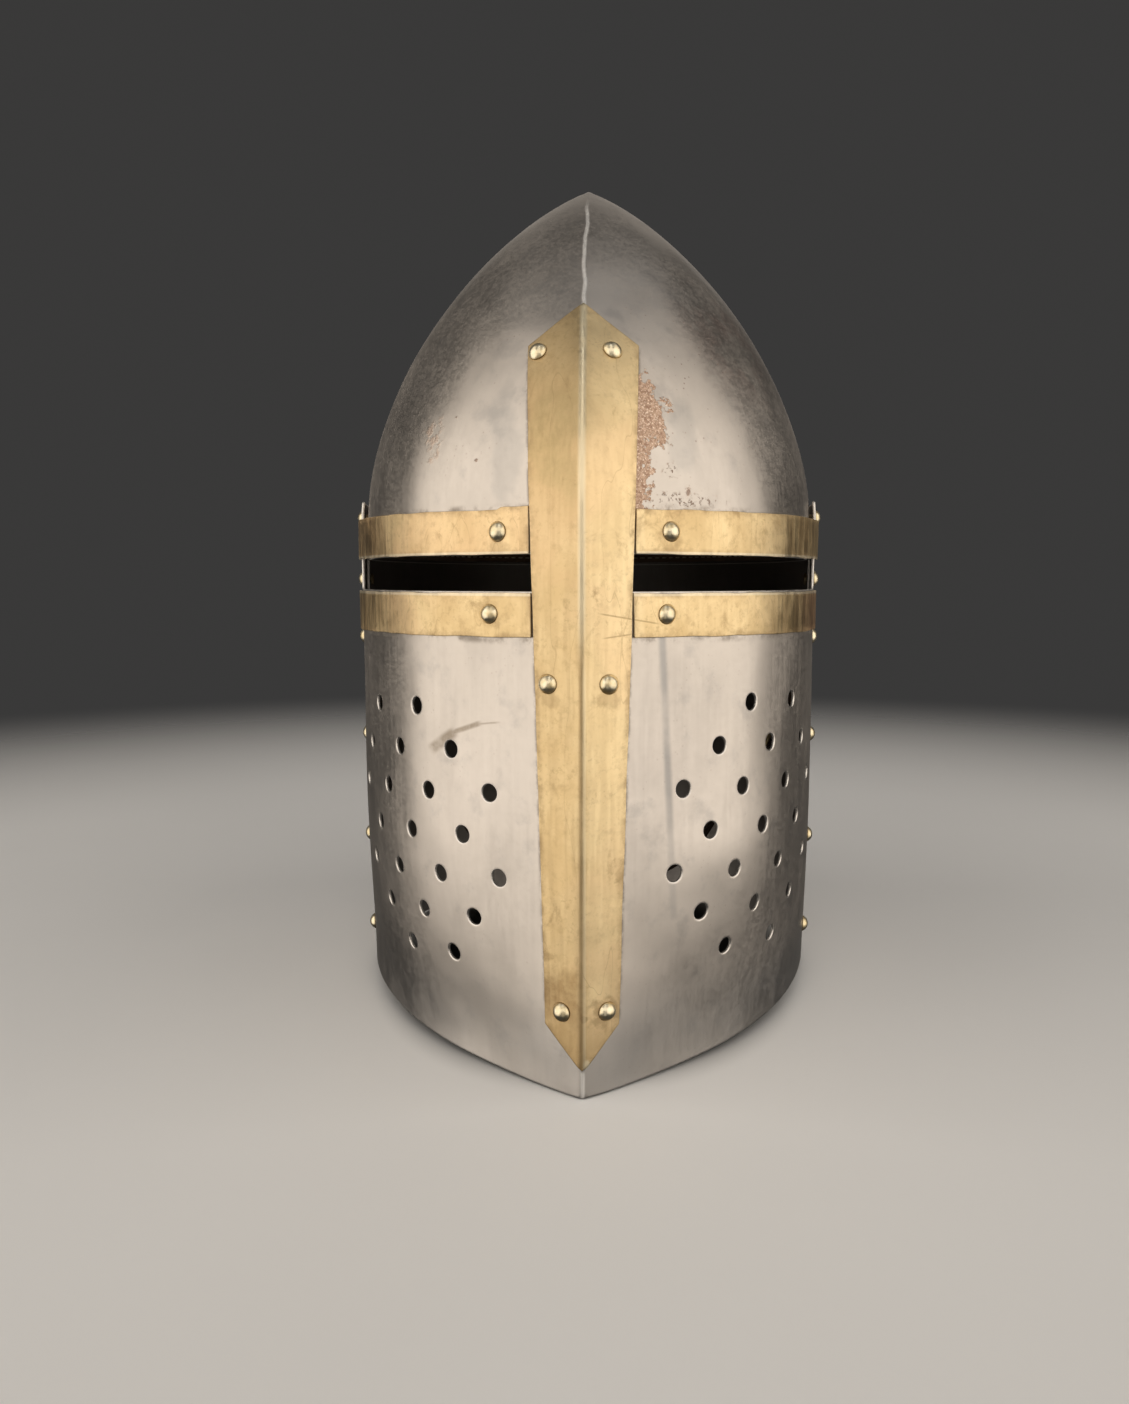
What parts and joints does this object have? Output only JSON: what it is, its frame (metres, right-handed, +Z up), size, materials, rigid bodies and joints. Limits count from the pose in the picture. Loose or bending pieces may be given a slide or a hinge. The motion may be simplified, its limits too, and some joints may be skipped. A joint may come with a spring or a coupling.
{
  "type": "great helm",
  "caption": "Pointed steel great helm with a fixed face plate, brass cross round the eye slits, pierced breaths, a laced leather liner and a buckled chin strap.",
  "frame": {"origin": "on the resting plane, at the middle of the bounding box, under the point of the skull", "axes": "+Z up through the point of the skull, -Y the way the face looks, +X the helm's own left-hand side as seen from the front on the right"},
  "size_m": [0.2046, 0.279, 0.35],
  "materials": {
    "steel": "brushed and polished by hand, lightly pitted and rust-stained",
    "steel_fittings": "plain steel rivets and washers",
    "brass": "satin sheet brass with mottled tarnish",
    "rivet_brass": "domed brass rivet heads, rubbed bright on top",
    "buckle_brass": "polished cast brass",
    "liner_leather": "vegetable-tanned leather, flesh side towards the steel",
    "lace_leather": "round leather thong",
    "strap_leather": "oiled strap leather with saddle stitching"
  },
  "bodies": {
    "helm": {"skull": "steel", "face_plate": "steel", "back_plate": "steel", "cross_bar": "brass", "upper_arm_left": "brass", "upper_arm_right": "brass", "lower_arm_left": "brass", "lower_arm_right": "brass", "bar_rivets_top": "rivet_brass", "bar_rivets_middle": "rivet_brass", "bar_rivets_bottom": "rivet_brass", "upper_arm_rivets": "rivet_brass", "lower_arm_rivets": "rivet_brass", "seam_rivets_left": "rivet_brass", "seam_rivets_right": "rivet_brass", "back_rivets": "steel_fittings", "liner_band": "liner_leather", "liner_tongue_1": "liner_leather", "liner_tongue_2": "liner_leather", "liner_tongue_3": "liner_leather", "liner_tongue_4": "liner_leather", "liner_tongue_5": "liner_leather", "liner_tongue_6": "liner_leather", "liner_tongue_7": "liner_leather", "liner_tongue_8": "liner_leather", "liner_lace": "lace_leather", "strap_rivet_left": "rivet_brass", "strap_rivet_right": "rivet_brass", "strap_washer_left": "steel_fittings", "strap_washer_right": "steel_fittings"},
    "chin_strap": {"strap_long": "strap_leather", "strap_short": "strap_leather", "buckle_frame": "buckle_brass", "strap_keeper": "strap_leather"},
    "prong": {"buckle_prong": "buckle_brass"}
  },
  "joints": [
    {"name": "chin_strap_swing", "type": "hinge", "parent": "helm", "child": "chin_strap", "pos_m": [0, -0.01806, 0.1555], "axis": [1, 0, 0], "range_deg": [-30, 30]},
    {"name": "buckle_prong_lift", "type": "hinge", "parent": "chin_strap", "child": "prong", "pos_m": [0.08213, -0.01806, 0.11799], "axis": [0, -1, 0], "range_deg": [0, 30]}
  ]
}
